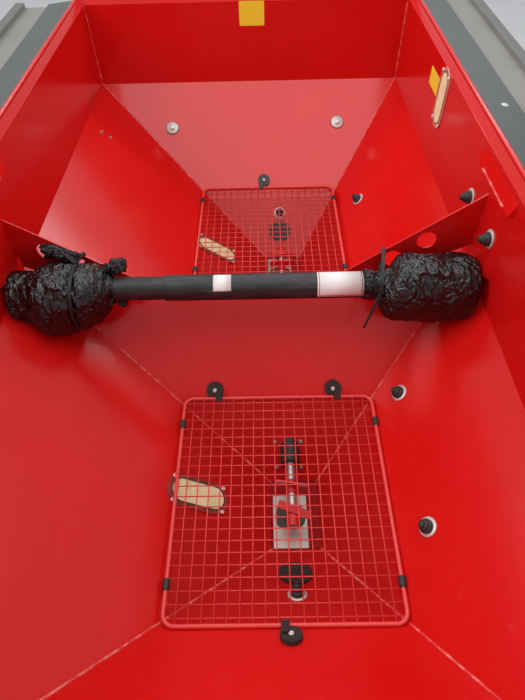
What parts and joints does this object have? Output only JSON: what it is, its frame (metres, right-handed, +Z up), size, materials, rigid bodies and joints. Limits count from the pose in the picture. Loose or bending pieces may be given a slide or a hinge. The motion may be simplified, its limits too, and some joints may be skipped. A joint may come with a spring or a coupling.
{
  "type": "fertilizer spreader hopper",
  "caption": "Red sheet-steel twin-funnel spreader hopper with tilting sieves, agitators and metering shutters, and a drive shaft tied across it.",
  "frame": {"origin": "centre of the four inner frame bolt holes, on the brackets' mounting faces at the front", "axes": "+X along the hopper to its left-hand end, +Y to the rear, +Z up"},
  "size_m": [2.4192, 1.7145, 0.8005],
  "materials": {
    "red_paint": "gloss powder coat",
    "red_coating": "satin plastic-coated wire",
    "grey_paint": "satin powder coat",
    "black_rubber": "matte",
    "clip_plastic": "matte moulded",
    "stainless": "brushed",
    "steel": "turned",
    "cast_housing": "painted casting",
    "clear_plastic": "clear sheet",
    "zinc": "zinc plated",
    "guard_plastic": "extruded tube",
    "black_film": "crumpled film",
    "tie_plastic": "moulded"
  },
  "bodies": {
    "hopper": {"bearing_left": "cast_housing", "bearing_right": "cast_housing", "bolt_caps": "black_rubber", "bolt_washers": "zinc", "cover_hangers_front": "grey_paint", "cover_hangers_rear": "grey_paint", "drive_shaft_inner": "guard_plastic", "drive_shaft_outer": "guard_plastic", "end_plug_left": "black_rubber", "end_plug_right": "black_rubber", "end_slope_left": "red_paint", "end_slope_right": "red_paint", "end_wall_left": "red_paint", "end_wall_right": "red_paint", "floor_pan_left": "stainless", "floor_pan_right": "stainless", "front_slope_left": "red_paint", "front_slope_right": "red_paint", "front_wall": "red_paint", "gusset_front": "red_paint", "gusset_rear": "red_paint", "inner_bracket_left": "red_paint", "inner_bracket_right": "red_paint", "outer_bracket_left": "red_paint", "outer_bracket_right": "red_paint", "rear_slope_left": "red_paint", "rear_slope_right": "red_paint", "rear_wall": "red_paint", "ridge_slope_left": "red_paint", "ridge_slope_right": "red_paint", "rim_front": "red_paint", "rim_left": "red_paint", "rim_rear": "red_paint", "rim_right": "red_paint", "shaft_bag_front": "black_film", "shaft_bag_rear": "black_film", "shaft_boot_left": "black_rubber", "shaft_boot_right": "black_rubber", "shaft_tie_front": "tie_plastic", "shaft_tie_rear": "tie_plastic", "side_cover_front": "grey_paint", "side_cover_rear": "grey_paint", "sieve_clips_left": "clip_plastic", "sieve_clips_right": "clip_plastic", "sight_windows": "clear_plastic", "stiffener_front": "red_paint", "stiffener_rear": "red_paint"},
    "sieve_right": {"sieve_mesh_right": "red_coating", "sieve_sleeves_right": "black_rubber", "sieve_latch_right": "clip_plastic"},
    "agitator_right": {"agitator_shaft_right": "steel", "agitator_star_right": "red_paint"},
    "shutter_right": {"shutter_right": "stainless"},
    "sieve_left": {"sieve_mesh_left": "red_coating", "sieve_sleeves_left": "black_rubber", "sieve_latch_left": "clip_plastic"},
    "agitator_left": {"agitator_shaft_left": "steel", "agitator_star_left": "red_paint"},
    "shutter_left": {"shutter_left": "stainless"}
  },
  "joints": [
    {"name": "sieve_right_tilt", "type": "hinge", "parent": "hopper", "child": "sieve_right", "pos_m": [-0.234, 0.545, -0.07], "axis": [0, 1, 0], "range_deg": [0, 70]},
    {"name": "agitator_right_spin", "type": "hinge", "parent": "hopper", "child": "agitator_right", "pos_m": [-0.4, 0.513, -0.188], "axis": [1, 0, 0], "continuous": true},
    {"name": "shutter_right_slide", "type": "slide", "parent": "hopper", "child": "shutter_right", "axis": [-1, 0, 0], "range_m": [0, 0.09]},
    {"name": "sieve_left_tilt", "type": "hinge", "parent": "hopper", "child": "sieve_left", "pos_m": [0.234, 0.545, -0.07], "axis": [0, -1, 0], "range_deg": [0, 70]},
    {"name": "agitator_left_spin", "type": "hinge", "parent": "hopper", "child": "agitator_left", "pos_m": [0.4, 0.513, -0.188], "axis": [1, 0, 0], "continuous": true},
    {"name": "shutter_left_slide", "type": "slide", "parent": "hopper", "child": "shutter_left", "axis": [1, 0, 0], "range_m": [0, 0.09]}
  ]
}
